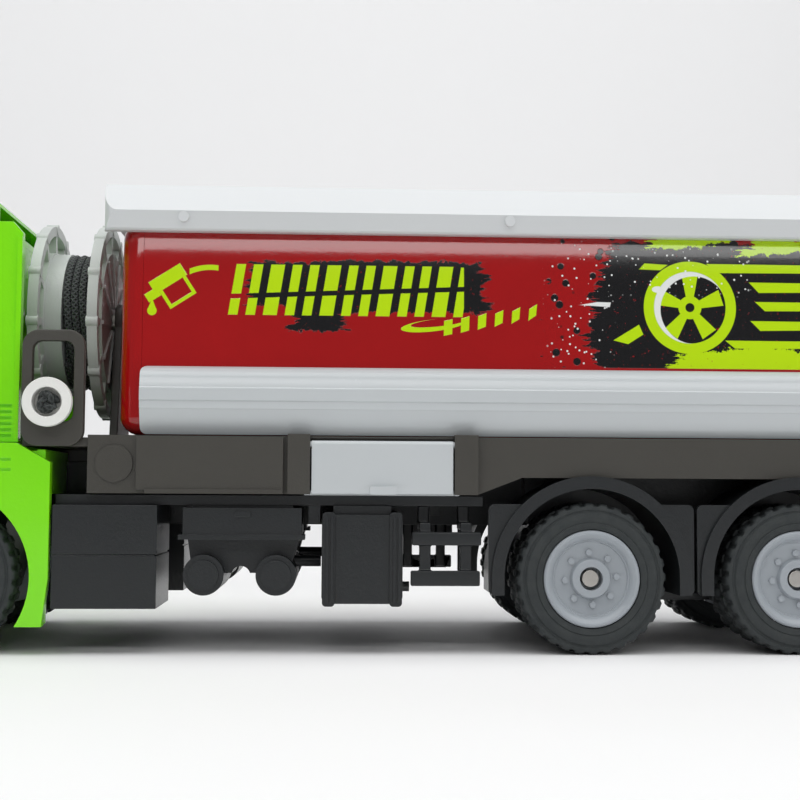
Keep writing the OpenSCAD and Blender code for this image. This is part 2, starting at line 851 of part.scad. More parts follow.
// The dished face, and a barrel that is w deep, with one flange between each pair of tyres
module rim_solid(w) {
    bore_r = 1.85;
    rotate_extrude() polygon([[axle_r, -w], [flange_r, -w], [flange_r, -w + 0.5], [barrel_r, -w + 0.5],
        [barrel_r, -0.8], [flange_r, -0.8], [flange_r, -0.3], [7.45, 0], [7.1, 0], [6.35, -0.55],
        [6.15, -1.1], [5.95, -1.1], [5.85, -1.5], [3.3, -1.7], [3.05, -0.8], [2.9, -0.7], [bore_r, -0.7],
        [bore_r, -3.2], [axle_r, -3.2]]);
    for (a = [0:45:315]) rotate(a + 4) translate([4.15, 0, -1.7]) cylinder(h = 0.6, r = 0.5, $fn = 24);
}

module tyre_solid() {
    rotate_extrude() polygon([[barrel_r, -0.85], [flange_r + 0.05, -0.85], [flange_r + 0.05, -0.2],
        [9.9, 0], [10.2, -0.35], [11.3, -0.5], [tyre_r, -1.1], [tyre_r, -tyre_w + 1.1],
        [11.3, -tyre_w + 0.5], [10.2, -tyre_w + 0.35], [9.9, -tyre_w], [flange_r + 0.05, -tyre_w + 0.2],
        [flange_r + 0.05, -tyre_w + 0.85], [barrel_r, -tyre_w + 0.85]]);
}

module dual_rim(x) {
    color("#aab0b5") wheel_at(x) {
        rim_solid(2 * tyre_w + 0.4);
    }
}

module dual_tyres(x) {
    color("#34373a") wheel_at(x) {
        tyre_solid();
        translate([0, 0, -tyre_w - 0.6]) tyre_solid();
    }
}

module rims_front() {
    color("#aab0b5") both_sides() wheel_at(front_axle_x) rim_solid(tyre_w);
}

module tyres_front() {
    color("#34373a") both_sides() wheel_at(front_axle_x) tyre_solid();
}

module rim_rear_1_left() {
    dual_rim(rear_axle_x);
}

module rim_rear_1_right() {
    mirror([0, 1, 0]) dual_rim(rear_axle_x);
}

module rim_rear_2_left() {
    dual_rim(rear_axle_x + bogie_pitch);
}

module rim_rear_2_right() {
    mirror([0, 1, 0]) dual_rim(rear_axle_x + bogie_pitch);
}

module tyres_rear_1_left() {
    dual_tyres(rear_axle_x);
}

module tyres_rear_1_right() {
    mirror([0, 1, 0]) dual_tyres(rear_axle_x);
}

module tyres_rear_2_left() {
    dual_tyres(rear_axle_x + bogie_pitch);
}

module tyres_rear_2_right() {
    mirror([0, 1, 0]) dual_tyres(rear_axle_x + bogie_pitch);
}

chassis_frame();
chassis_screws();
deck();
tank_shell();
tank_front_cap();
tank_rear_cap();
roof_walkway();
filler_lids();
pannier_left();
pannier_right();
locker_tub_left();
locker_tub_right();
locker_door_left();
locker_door_right();
reel_stand();
reel_shaft();
hose_reel();
reel_flange();
hose_winding();
hose_lead();
hose_end_ring();
hose_guide();
cab_shell();
cab_base();
cab_side_fairings();
roof_deflector();
cab_glazing();
cab_interior();
steering_wheel();
front_grille();
headlights();
mirrors();
battery_box_left();
battery_box_right();
tool_tray_left();
tool_tray_right();
air_tanks();
fuel_tank_left();
fuel_tank_right();
side_guard_left();
side_guard_right();
mudguards_left();
mudguards_right();
rear_lamp_bar();
tail_lamps();
rear_ladder();
axle_front();
axle_rear_1();
axle_rear_2();
rims_front();
tyres_front();
rim_rear_1_left();
rim_rear_1_right();
rim_rear_2_left();
rim_rear_2_right();
tyres_rear_1_left();
tyres_rear_1_right();
tyres_rear_2_left();
tyres_rear_2_right();
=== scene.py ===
"""Finish and small detail for the toy tanker truck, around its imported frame."""

import json
import math

import bmesh
import bpy
from bpy.props import FloatProperty, FloatVectorProperty, IntProperty, PointerProperty
from mathutils import Matrix, Vector


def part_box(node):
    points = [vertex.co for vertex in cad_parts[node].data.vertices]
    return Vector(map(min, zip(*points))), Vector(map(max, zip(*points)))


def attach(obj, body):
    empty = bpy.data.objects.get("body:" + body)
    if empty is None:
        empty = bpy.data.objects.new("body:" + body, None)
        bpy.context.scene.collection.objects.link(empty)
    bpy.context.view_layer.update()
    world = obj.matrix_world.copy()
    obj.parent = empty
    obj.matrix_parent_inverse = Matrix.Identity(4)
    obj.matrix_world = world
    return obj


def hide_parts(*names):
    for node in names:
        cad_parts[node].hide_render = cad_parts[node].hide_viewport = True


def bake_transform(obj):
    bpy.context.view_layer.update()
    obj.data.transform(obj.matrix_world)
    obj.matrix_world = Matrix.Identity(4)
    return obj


bl_info = {
    "name": "Toy tanker truck",
    "version": (1, 0, 0),
    "blender": (4, 5, 0),
    "location": "3D View > Sidebar > Tanker",
    "description": "Moulded edges, tyres, wound hose, prints and finishes for a toy tanker truck",
    "category": "Object",
}

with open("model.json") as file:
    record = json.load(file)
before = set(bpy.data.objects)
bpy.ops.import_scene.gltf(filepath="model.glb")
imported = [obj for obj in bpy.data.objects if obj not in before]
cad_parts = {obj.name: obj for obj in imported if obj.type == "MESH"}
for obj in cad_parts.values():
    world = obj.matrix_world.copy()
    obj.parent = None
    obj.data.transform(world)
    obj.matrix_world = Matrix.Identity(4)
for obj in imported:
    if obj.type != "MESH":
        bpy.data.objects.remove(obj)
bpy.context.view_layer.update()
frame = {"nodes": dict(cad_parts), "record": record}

MM = 0.001
PER_MM = 1000.0
NODE_BODY = {
    node: body
    for body, nodes in frame["record"]["behaviour"]["bodies"].items()
    for node in nodes
}
NODE_SLOT = {row["node"]: row["material_slot"] for row in frame["record"]["subparts"]}


def colour_property(name, description, default):
    """A colour that the panel shows as a swatch."""
    return FloatVectorProperty(
        name=name, description=description, default=default,
        subtype="COLOR", size=3, min=0.0, max=1.0,
    )


def length_property(name, description, default):
    """A length in metres."""
    return FloatProperty(
        name=name, description=description, default=default,
        subtype="DISTANCE", unit="LENGTH", min=0.0, precision=5,
    )


class TankerColours(bpy.types.PropertyGroup):
    """Colours of the mouldings and prints."""

    cab: colour_property("Cab", "Glossy lime of the cab", (0.215, 0.770, 0.0015))
    tank: colour_property("Tank", "Deep red of the tank", (0.345, 0.004, 0.005))
    walkway: colour_property("Walkway", "Off-white roof walkway", (0.63, 0.65, 0.66))
    pale: colour_property("Pale parts", "Pannier and locker grey", (0.54, 0.57, 0.585))
    reel: colour_property("Reel", "Light grey of the hose reel", (0.50, 0.53, 0.51))
    deck: colour_property("Deck", "Warm dark grey of the deck", (0.048, 0.045, 0.038))
    chassis: colour_property("Chassis", "Black of chassis and boxes", (0.012, 0.014, 0.0155))
    rim: colour_property("Rims", "Silver grey of the rims", (0.33, 0.36, 0.39))
    rubber: colour_property("Rubber", "Black rubber of the tyres", (0.023, 0.028, 0.030))
    cord: colour_property("Hose", "Braided black of the hose", (0.012, 0.016, 0.015))
    lime: colour_property("Lime ink", "Printed lime", (0.50, 0.76, 0.001))
    floor: colour_property("Floor", "Studio paper", (0.90, 0.90, 0.905))


class TankerSizes(bpy.types.PropertyGroup):
    """Sizes of the detail that is made here."""

    edge: length_property("Edge", "Rounding of moulded edges", 0.00028)
    tyre_radius: length_property("Tyre radius", "Outer radius of a tyre", 0.012)
    tyre_width: length_property("Tyre width", "Width of one tyre", 0.0065)
    lugs: IntProperty(name="Lugs", description="Tread lugs round a tyre", default=32, min=12)
    groove: length_property("Groove", "Depth of the tread grooves", 0.00036)
    hose_diameter: length_property("Hose diameter", "Diameter of the cord", 0.00125)
    wound_radius: length_property("Wound radius", "Outer radius of the winding", 0.012)


# ---------------------------------------------------------------- shader helpers


class Field:
    """A number that varies over a surface. Arithmetic on it adds Math nodes."""

    def __init__(self, paint, socket):
        self.paint = paint
        self.socket = socket

    def math(self, operation, *terms, clamp=False):
        return self.paint.node(
            "ShaderNodeMath", dict(enumerate(terms)), operation=operation, use_clamp=clamp
        )

    def __add__(self, other):
        return self.math("ADD", self, other)

    __radd__ = __add__

    def __sub__(self, other):
        return self.math("SUBTRACT", self, other)

    def __rsub__(self, other):
        return self.math("SUBTRACT", other, self)

    def __mul__(self, other):
        return self.math("MULTIPLY", self, other)

    __rmul__ = __mul__

    def __pow__(self, other):
        return self.math("POWER", self, other)

    def __abs__(self):
        return self.math("ABSOLUTE", self)

    def __and__(self, other):
        return self.math("MINIMUM", self, other)

    def __or__(self, other):
        return self.math("MAXIMUM", self, other)

    def sin(self):
        return self.math("SINE", self)

    def clear(self, soft):
        """1 where the number is above zero, 0 below, with a soft edge that wide."""
        return self.math("MULTIPLY_ADD", self, 1.0 / soft, 0.5, clamp=True)


class Paint:
    """One material, built node by node around a Principled shader."""

    def __init__(self, name):
        self.material = bpy.data.materials.new(name)
        self.material.use_nodes = True
        self.tree = self.material.node_tree
        self.shader = self.tree.nodes["Principled BSDF"]

    def node(self, kind, terms, out=0, **settings):
        made = self.tree.nodes.new(kind)
        for name, value in settings.items():
            setattr(made, name, value)
        for key, term in terms.items():
            self.feed(made.inputs[key], term)
        return Field(self, made.outputs[out])

    def feed(self, socket, term):
        if isinstance(term, Field):
            self.tree.links.new(term.socket, socket)
        else:
            socket.default_value = term

    def set(self, **terms):
        for name, term in terms.items():
            self.feed(self.shader.inputs[name.replace("_", " ")], term)

    def place(self):
        """Object coordinates in millimetres, as a vector and as x, y and z."""
        raw = self.node("ShaderNodeTexCoord", {}, out="Object")
        point = self.node(
            "ShaderNodeMapping", {"Vector": raw, "Scale": (PER_MM, PER_MM, PER_MM)}
        )
        return point, self.split(point)

    def noise(self, point, scale, detail=2.0, rough=0.5):
        return self.node(
            "ShaderNodeTexNoise",
            {"Vector": point, "Scale": scale, "Detail": detail, "Roughness": rough},
            out=0,
        )

    def mix(self, factor, below, above):
        """Colour above over colour below, by factor."""
        lower, upper = (c if isinstance(c, Field) else (*c, 1.0) for c in (below, above))
        return self.node(
            "ShaderNodeMix", {0: factor, 6: lower, 7: upper}, out=2, data_type="RGBA"
        )

    def split(self, vector):
        """The three numbers of a vector."""
        parts = self.node("ShaderNodeSeparateXYZ", {0: vector}).socket.node
        return [Field(self, output) for output in parts.outputs]

    def cells(self, point, scale):
        """Distance to the nearest of randomly scattered points."""
        return self.node(
            "ShaderNodeTexVoronoi", {"Vector": point, "Scale": scale, "Randomness": 1.0},
            out="Distance", feature="F1",
        )

    def bump(self, height, depth_mm, strength=1.0):
        return self.node(
            "ShaderNodeBump",
            {"Height": height, "Distance": depth_mm * MM, "Strength": strength},
        )


def shade(colour, factor):
    """The colour, darker or lighter."""
    return tuple(min(1.0, c * factor) for c in colour)


def moulded_plastic(name, colour, roughness, grain, coat=0.0, cloud=0.06, scuff=0.25):
    """Injection-moulded plastic: faint flow clouds, a fine skin and a few scuffs."""
    paint = Paint(name)
    point, _ = paint.place()
    flow = paint.noise(point, 0.09, 3.0, 0.6)
    speck = paint.noise(point, 7.0, 2.0, 0.7)
    skin = paint.noise(point, 2.2, 4.0, 0.62)
    tone = paint.mix(
        (flow - 0.5) * 1.2 + 0.5, shade(colour, 1.0 - cloud), shade(colour, 1.0 + cloud)
    )
    paint.set(
        Base_Color=paint.mix((speck - 0.62).clear(0.1) * scuff, tone, shade(colour, 1.18)),
        Roughness=(flow - 0.5) * 0.06 + (skin - 0.5) * 0.08 + roughness,
        Normal=paint.bump(skin * 0.7 + speck * 0.3, grain),
        IOR=1.49,
        Coat_Weight=coat,
        Coat_Roughness=0.07,
    )
    return paint.material


def steel(name):
    """Drawn steel wire and pins with fine turning lines."""
    paint = Paint(name)
    point, _ = paint.place()
    lines = paint.noise(point, 5.0, 3.0, 0.7)
    stain = paint.noise(point, 0.8, 3.0, 0.6)
    paint.set(
        Base_Color=paint.mix(stain, (0.42, 0.40, 0.37), (0.60, 0.58, 0.55)),
        Metallic=1.0,
        Roughness=lines * 0.25 + 0.22,
        Normal=paint.bump(lines, 0.03),
    )
    return paint.material


def rubber(name, colour):
    """Soft tyre rubber with faint dust all over."""
    paint = Paint(name)
    point, _ = paint.place()
    dust = paint.noise(point, 0.5, 4.0, 0.65)
    skin = paint.noise(point, 6.0, 3.0, 0.7)
    paint.set(
        Base_Color=paint.mix(
            (dust - 0.45).clear(0.3) * 0.22 + skin * 0.08, colour, (0.075, 0.08, 0.077)
        ),
        Roughness=skin * 0.16 + dust * 0.1 + 0.5,
        Normal=paint.bump(skin, 0.05),
        Specular_IOR_Level=0.32,
    )
    return paint.material


def braid(name, colour):
    """Braided cord: strands cross both ways round it, on the tube's own lay."""
    paint = Paint(name)
    lay = paint.node("ShaderNodeAttribute", {}, out="Vector", attribute_name="lay")
    along, cosine, sine = paint.split(lay)
    turn = paint.node("ShaderNodeMath", {0: sine, 1: cosine}, operation="ARCTAN2")
    strands, pitch = 4.0, 6.4
    left = (turn * strands + along * pitch).sin()
    right = (turn * strands - along * pitch).sin()
    over = left | right
    point, _ = paint.place()
    fuzz = paint.noise(point, 14.0, 3.0, 0.7)
    # Base colour lighter on the raised strands and darker in the gaps between them, following the
    # strand relief.
    lighter_on_raised_strands = (over + 0.2).clear(0.9) * (fuzz * 0.5 + 0.6)
    paint.set(
        Base_Color=paint.mix(lighter_on_raised_strands, colour, (0.055, 0.065, 0.064)),
        Roughness=fuzz * 0.2 + 0.55,
        Normal=paint.bump(over + fuzz * 0.35, 0.22),
        Sheen_Weight=0.12,
        Sheen_Roughness=0.4,
    )
    return paint.material


def clear_plastic(name, colour, through, roughness=0.06):
    """Tinted clear plastic with faint ripples."""
    paint = Paint(name)
    point, _ = paint.place()
    ripple = paint.noise(point, 0.4, 2.0, 0.5)
    paint.set(
        Base_Color=paint.mix(ripple, colour, shade(colour, 1.3)),
        Roughness=ripple * 0.06 + roughness,
        Transmission_Weight=through,
        IOR=1.5,
        Normal=paint.bump(ripple, 0.05),
    )
    return paint.material


# ---------------------------------------------------------------- the tank's print


class Stencil:
    """Shapes in the plane of the tank's side: u runs to the rear, v runs up, in mm."""

    def __init__(self, u, v, soft=0.09):
        self.u = u
        self.v = v
        self.soft = soft

    def turned(self, u0, v0, degrees):
        """The same plane, moved to (u0, v0) and turned."""
        c, s = math.cos(math.radians(degrees)), math.sin(math.radians(degrees))
        du, dv = self.u - u0, self.v - v0
        return Stencil(du * c + dv * s, dv * c - du * s, self.soft)

    def box(self, u0, u1, v0, v1):
        """Positive inside a box, in mm from its edge."""
        across = ((u1 - u0) / 2) - abs(self.u - (u0 + u1) / 2)
        up = ((v1 - v0) / 2) - abs(self.v - (v0 + v1) / 2)
        return across & up

    def disc(self, u0, v0, r, squash=1.0):
        """Positive inside a disc or an ellipse."""
        du, dv = self.u - u0, (self.v - v0) * squash
        return r - (du * du + dv * dv) ** 0.5

    def below(self, u0, v0, u1, v1):
        """Positive to the right of a line that runs from the first point to the second."""
        length = math.hypot(u1 - u0, v1 - v0)
        return (self.u - u0) * ((v1 - v0) / length) - (self.v - v0) * ((u1 - u0) / length)

    def shape(self, *corners):
        """Positive inside a convex outline whose corners run clockwise."""
        edges = [
            self.below(*a, *b) for a, b in zip(corners, corners[1:] + corners[:1])
        ]
        inside = edges[0]
        for edge in edges[1:]:
            inside = inside & edge
        return inside


def union(fields):
    """The outermost of several signed shapes."""
    joined = fields[0]
    for field in fields[1:]:
        joined = joined | field
    return joined


def filler_sign(p):
    """A drop beside a filler spout whose hose trails off to the rear."""
    head = p.turned(-33.4, 58.6, 33)
    body = head.box(-3.3, 2.6, 0.3, 2.5) | head.box(-4.9, -2.6, -0.3, 1.2)
    grip = (head.box(-2.6, 2.3, -3.0, 0.8)) & (0.0 - head.box(-2.05, 1.75, -2.45, 0.3))
    hose_ring = 0.42 - abs(p.disc(-27.6, 53.1, 8.4))
    hose = hose_ring & p.box(-31.0, -26.4, 58.0, 62.5)
    drop = p.disc(-36.9, 54.4, 0.75) | p.shape((-37.5, 54.8), (-36.9, 56.4), (-36.3, 54.8))
    return union([body, grip, hose, drop])


def bar_frieze(p):
    """A row of leaning bars, wide and narrow in turn, cut by one thin rising line."""
    lean = p.turned(-25.4, 53.9, -9)
    widths = (1.5, 1.5, 2.2, 1.5, 1.5, 2.2, 1.5, 1.5, 2.2, 1.5, 1.5, 2.2, 1.5)
    bars, left = [], 0.6
    for wide in widths:
        low, high = Vector((left, 0.0)), Vector((left + wide, 8.3))
        bars.append(lean.box(low.x, high.x, -7.0, 14.0))
        left += wide + 1.25
    cut = p.turned(-7.0, 57.6, 2.4).box(-30.0, 30.0, -0.4, 0.4)
    return union(bars) & p.box(-40.0, 13.2, 53.9, 62.1) & (0.0 - cut)


def swoosh(p):
    """A thin flag stroke under the bars with a row of slanted dashes."""
    tail = p.turned(8.2, 52.5, 7)
    stroke = tail.disc(0.0, 0.0, 5.2, 5.4) & (0.0 - tail.disc(1.0, 0.35, 4.6, 7.5))
    dashes = []
    for k in range(6):
        dash = p.turned(10.6 + k * 2.75, 52.1 + k * 0.52, 12)
        dashes.append(dash.shape(
            (-0.9, -1.1), (-0.35, 1.25 - 0.1 * k), (1.05, 1.25), (0.5, -1.1 + 0.12 * k)
        ))
    return union([stroke] + dashes)


def rolling_wheel(p):
    """A generic spoked wheel with long speed streaks behind it."""
    hub_u, hub_v = 50.2, 55.9
    ring = (p.disc(hub_u, hub_v, 7.6)) & (0.0 - p.disc(hub_u, hub_v, 5.9))
    spokes = []
    for k in range(5):
        arm = p.turned(hub_u, hub_v, 18 + 72 * k)
        spokes.append(arm.shape((1.2, -0.55), (1.2, 0.55), (5.4, 1.35), (5.4, -1.35)))
    hub = p.disc(hub_u, hub_v, 1.9) & (0.0 - p.disc(hub_u, hub_v, 0.75))
    runs = (  # height, start, end and thickness of each streak
        (62.4, 53.0, 92.0, 1.5), (59.3, 60.0, 84.0, 1.7), (56.2, 61.0, 93.5, 1.5),
        (53.0, 60.2, 80.0, 1.6), (49.9, 56.0, 90.0, 1.3),
    )
    streaks = [
        p.shape(
            (u0 + 1.6, v0 - thick / 2), (u0, v0 + thick / 2),
            (u1, v0 + thick * 0.45), (u1 - 5.0, v0 - thick * 0.35),
        )
        for v0, u0, u1, thick in runs
    ]
    front = p.shape((37.6, 50.4), (41.8, 53.0), (42.5, 51.4), (40.0, 49.8))
    return union([ring, hub] + spokes + streaks + [front])


def tank_print(paint, point, x, z, red, lime):
    """Colour of the red side with its print, and the mask of all its inks."""
    wobble = paint.noise(point, 0.55, 5.0, 0.72)
    tear = paint.noise(point, 1.9, 3.0, 0.7)
    streak_point = paint.node("ShaderNodeMapping", {"Vector": point, "Scale": (0.16, 1.0, 1.5)})
    streaks = paint.noise(streak_point, 1.0, 4.0, 0.7)
    p = Stencil(x, z)
    rough_p = Stencil(x + (streaks - 0.5) * 9.0, z + (wobble - 0.5) * 3.2)
    brushed = union([
        rough_p.box(-21.5, -9.0, 55.4, 62.6),
        rough_p.box(-9.5, 16.6, 54.6, 62.9),
        rough_p.box(-14.5, -6.0, 51.4, 56.4),
    ])
    splash = rough_p.shape(
        (36.5, 44.0), (33.6, 50.0), (34.4, 60.0), (38.0, 66.6),
        (91.0, 66.6), (91.6, 55.0), (90.5, 44.0),
    )
    spots = (0.27 - paint.cells(point, 0.42)) & rough_p.box(27.0, 97.0, 45.0, 68.0)
    ink = (brushed | splash | (spots * 2.5)) & (tear * 30.0 - 9.6)
    black = ink.clear(0.14)
    flames = union([
        rough_p.shape((43.0, 65.3), (45.0, 67.6), (60.0, 67.8), (55.0, 66.4)),
        rough_p.shape((58.5, 64.6), (61.5, 67.4), (82.0, 67.8), (74.0, 65.6)),
        p.shape((41.9, 62.1), (42.8, 63.1), (46.6, 62.9), (45.4, 62.0)),
        rough_p.shape((44.0, 44.0), (48.5, 48.2), (62.0, 49.6), (86.0, 47.0), (90.0, 44.0)),
    ]) & (tear * 30.0 - 8.6)
    lime_mask = union([
        filler_sign(p).clear(0.1),
        bar_frieze(p).clear(0.1) * (tear * 9.0 - 2.0).clear(0.4),
        swoosh(p).clear(0.1),
        rolling_wheel(p).clear(0.1),
        flames.clear(0.14),
    ])
    flecks = paint.cells(point, 0.95)
    white_zone = (
        p.box(34.0, 60.0, 58.5, 65.5) | p.box(72.0, 90.0, 46.5, 52.0) | p.box(27.0, 37.0, 46.0, 66.0)
    ).clear(2.0)
    glint = p.turned(34.8, 56.2, 2)
    white_mask = union([
        (0.155 - flecks).clear(0.05) * white_zone,
        glint.shape((-2.6, 0.0), (0.2, 0.42), (2.4, 0.3), (2.2, -0.45)).clear(0.1),
        p.disc(44.9, 58.8, 0.95, 1.8).clear(0.1),
        (p.disc(50.2, 55.9, 5.9) & (0.0 - p.disc(50.9, 55.5, 5.55))).clear(0.1),
    ])
    shine = paint.mix(black, red, (0.006, 0.006, 0.007))
    shine = paint.mix(lime_mask, shine, lime)
    shine = paint.mix(white_mask, shine, (0.80, 0.82, 0.80))
    return shine, black | lime_mask | white_mask


def printed_tank(name, red, lime):
    """High gloss red with the print on both flat sides, above the panniers."""
    paint = Paint(name)
    point, (x, y, z) = paint.place()
    flow = paint.noise(point, 0.07, 3.0, 0.6)
    skin = paint.noise(point, 1.4, 4.0, 0.6)
    base = paint.mix(flow, shade(red, 0.9), shade(red, 1.12))
    picture, ink = tank_print(paint, point, x, z, base, lime)
    print_foot = 45.9
    on_side = (abs(y) - 15.0).clear(0.5) * (z - print_foot).clear(0.1)
    paint.set(
        Base_Color=paint.mix(on_side, base, picture),
        Roughness=skin * 0.05 + ink * 0.08 + 0.07,
        Normal=paint.bump(skin * 0.3 + ink * on_side * 0.7, 0.03),
        Coat_Weight=0.3,
        Coat_Roughness=0.04,
    )
    return paint.material


# ---------------------------------------------------------------- mesh helpers


def new_piece(name, mesh_data, body, material):
    """An object of the truck that rides on a body and takes one finish."""
    piece = bpy.data.objects.new(name, mesh_data)
    bpy.context.scene.collection.objects.link(piece)
    mesh_data.materials.clear()
    mesh_data.materials.append(material)
    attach(piece, body)
    return piece


def to_mesh(bm, name, smooth_degrees=35.0):
    """The bmesh as mesh data, smooth but for its sharp edges."""
    bm.normal_update()
    limit = math.radians(smooth_degrees)
    for face in bm.faces:
        face.smooth = True
    for edge in bm.edges:
        edge.smooth = len(edge.link_faces) == 2 and edge.calc_face_angle(0.0) < limit
    data = bpy.data.meshes.new(name)
    bm.to_mesh(data)
    bm.free()
    return data


def softened(node, edge, material, sharp_degrees=28.0):
    """A new piece with the node's shape and rounded moulded edges."""
    bm = bmesh.new()
    bm.from_mesh(frame["nodes"][node].data)
    bmesh.ops.remove_doubles(bm, verts=bm.verts, dist=2e-6)
    bmesh.ops.dissolve_limit(
        bm, angle_limit=math.radians(0.6), use_dissolve_boundaries=False,
        verts=bm.verts, edges=bm.edges,
    )
    sharp = [
        e for e in bm.edges
        if len(e.link_faces) == 2 and e.calc_face_angle(0.0) > math.radians(sharp_degrees)
    ]
    if edge > 0.0 and sharp:
        bmesh.ops.bevel(
            bm, geom=sharp, offset=edge, offset_type="OFFSET", affect="EDGES",
            segments=2, profile=0.5, material=-1, clamp_overlap=True,
        )
    name = node + "_moulding"
    piece = new_piece(name, to_mesh(bm, name), NODE_BODY[node], material)
    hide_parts(node)
    normals = piece.modifiers.new("Flat faces stay flat", "WEIGHTED_NORMAL")
    normals.keep_sharp = True
    return piece


def tube(bm, path, radius, sides, lay, start=0.0):
    """Sweeps a ring along points; lay holds (mm along, cosine, sine) for the braid."""
    ring, last, along = None, None, start
    side = Vector((1.0, 0.0, 0.0))
    for k, point in enumerate(path):
        ahead = path[min(k + 1, len(path) - 1)] - path[max(k - 1, 0)]
        ahead.normalize()
        side = (side - ahead * side.dot(ahead)).normalized()
        turn = Matrix((side, ahead.cross(side), ahead)).transposed().to_4x4()
        made = bmesh.ops.create_circle(
            bm, segments=sides, radius=radius, matrix=Matrix.Translation(point) @ turn
        )["verts"]
        if last is not None:
            along += (point - last).length * PER_MM
        for vert in made:
            local = turn.inverted() @ (vert.co - point) / radius
            vert[lay] = (along, local.x, local.y)
        edges = bm.edges[-sides:]
        if ring is None:
            bm.faces.new(reversed(made))
        else:
            bmesh.ops.bridge_loops(bm, edges=ring + edges)
        ring, last = edges, point.copy()
    bm.faces.new(made)
    return along


def bar(bm, start, end, wide, deep, up=(0.0, 0.0, 1.0)):
    """A straight bar between two points in mm, with the given width and depth."""
    a, b = Vector(start) * MM, Vector(end) * MM
    along = (b - a).normalized()
    side = along.cross(Vector(up)).normalized()
    turn = Matrix((along, side, along.cross(side))).transposed().to_4x4()
    stretch = Matrix.Diagonal(((b - a).length, wide * MM, deep * MM, 1.0))
    bmesh.ops.create_cube(bm, size=1.0, matrix=Matrix.Translation((a + b) / 2) @ turn @ stretch)


def disc(bm, centre, axis, radius, deep, sides=28):
    """A short cylinder in mm whose axis is the given direction."""
    turn = Vector(axis).to_track_quat("Z", "Y").to_matrix().to_4x4()
    bmesh.ops.create_cone(
        bm, cap_ends=True, segments=sides, radius1=radius * MM, radius2=radius * MM,
        depth=deep * MM, matrix=Matrix.Translation(Vector(centre) * MM) @ turn,
    )


def small_part(bm, name, body, slot_name, edge_mm, sharp_degrees=40.0):
    """Rounds the edges of small parts and makes them one piece."""
    sharp = [e for e in bm.edges if e.calc_face_angle(0.0) > math.radians(sharp_degrees)]
    bmesh.ops.bevel(
        bm, geom=sharp, offset=edge_mm * MM, offset_type="OFFSET", affect="EDGES",
        segments=2, profile=0.5, material=-1, clamp_overlap=True,
    )
    return new_piece(name, to_mesh(bm, name), body, Finishes.made[slot_name])


def mirrored(points):
    """Each (x, y, z) and its twin on the other side."""
    return [p for x, y, z in points for p in ((x, y, z), (x, -y, z))]


def tread_profile(radius, width):
    """Half section of a tyre as (radius, depth) points, from its bead outwards."""
    r, w = radius, width
    bead, wall = 0.647 * r, 0.825 * r
    left = [
        (bead, 0.13), (bead + 0.0001, 0.035), (0.69 * r, 0.012), (0.735 * r, 0.0), (0.745 * r, 0.02),
        (0.76 * r, 0.005), (wall, 0.0), (0.865 * r, 0.012), (0.885 * r, 0.05), (0.90 * r, 0.05),
        (0.915 * r, 0.03), (0.955 * r, 0.04), (0.985 * r, 0.075), (r, 0.15), (r, 0.29), (r, 0.44),
        (0.975 * r, 0.455),
    ]
    points = [(a, b * w) for a, b in left]
    points += [(a, w - b) for a, b in reversed(points)]
    return points


def tyre_mesh(bm, centre, outward, sizes):
    """One tyre with staggered block lugs. centre is the middle of its outer face."""
    section = [
        bm.verts.new(centre + Vector((0.0, -outward * depth, r)))
        for r, depth in tread_profile(sizes.tyre_radius, sizes.tyre_width)
    ]
    loop = [bm.edges.new((a, b)) for a, b in zip(section, section[1:] + section[:1])]
    steps = sizes.lugs * 4
    bmesh.ops.spin(
        bm, geom=section + loop, cent=centre, axis=Vector((0.0, 1.0, 0.0)),
        angle=math.tau, steps=steps, use_merge=True,
    )
    step = math.tau / steps
    shoulder = 0.975 * sizes.tyre_radius
    for vert in bm.verts:
        rel = vert.co - centre
        r = math.hypot(rel.x, rel.z)
        if r < shoulder:
            continue
        near = abs(rel.y) < sizes.tyre_width / 2
        turn = math.atan2(rel.z, rel.x)
        phase = (round(turn / step) + (2 if near else 0)) % 4
        depth = sizes.groove if phase < 2 else 0.0
        turn += (0.0, 0.0, -0.3, 0.3)[phase] * step
        scale = (r - depth) / r
        vert.co = centre + Vector((math.cos(turn) * r * scale, rel.y, math.sin(turn) * r * scale))


# ---------------------------------------------------------------- operators


class Finishes:
    """Materials by the record's slot, made once from the colours."""

    made = {}


def make_finishes(colours):
    pick = {k: tuple(getattr(colours, k)) for k in TankerColours.__annotations__}
    smooth = {"cloud": 0.012, "scuff": 0.05}
    Finishes.made = {
        "cab_green": moulded_plastic(
            "Lime gloss", pick["cab"], 0.20, 0.03, coat=0.2, cloud=0.03, scuff=0.08
        ),
        "tank_red": printed_tank("Red tank", pick["tank"], pick["lime"]),
        "walkway_white": moulded_plastic("Walkway white", pick["walkway"], 0.30, 0.004, **smooth),
        "pale_grey": moulded_plastic("Pale grey", pick["pale"], 0.25, 0.004, coat=0.1, **smooth),
        "reel_grey": moulded_plastic("Reel grey", pick["reel"], 0.36, 0.04, cloud=0.04),
        "deck_grey": moulded_plastic("Deck grey", pick["deck"], 0.40, 0.06),
        "black_plastic": moulded_plastic("Chassis black", pick["chassis"], 0.30, 0.05, cloud=0.12),
        "cabin_grey": moulded_plastic("Cabin grey", (0.05, 0.05, 0.052), 0.5, 0.08),
        "rim_silver": moulded_plastic("Rim silver", pick["rim"], 0.30, 0.02, coat=0.1, cloud=0.05),
        "ring_white": moulded_plastic("Ring white", (0.80, 0.80, 0.77), 0.38, 0.06, cloud=0.03),
        "steel": steel("Steel"),
        "tyre": rubber("Tyre rubber", pick["rubber"]),
        "hose_black": braid("Braided cord", pick["cord"]),
        "glazing": clear_plastic("Smoked glazing", (0.06, 0.07, 0.075), 0.75),
        "lamp_clear": clear_plastic("Clear lens", (0.85, 0.9, 0.95), 0.6, 0.1),
        "lamp_red": clear_plastic("Red lens", (0.55, 0.01, 0.01), 0.2, 0.12),
    }


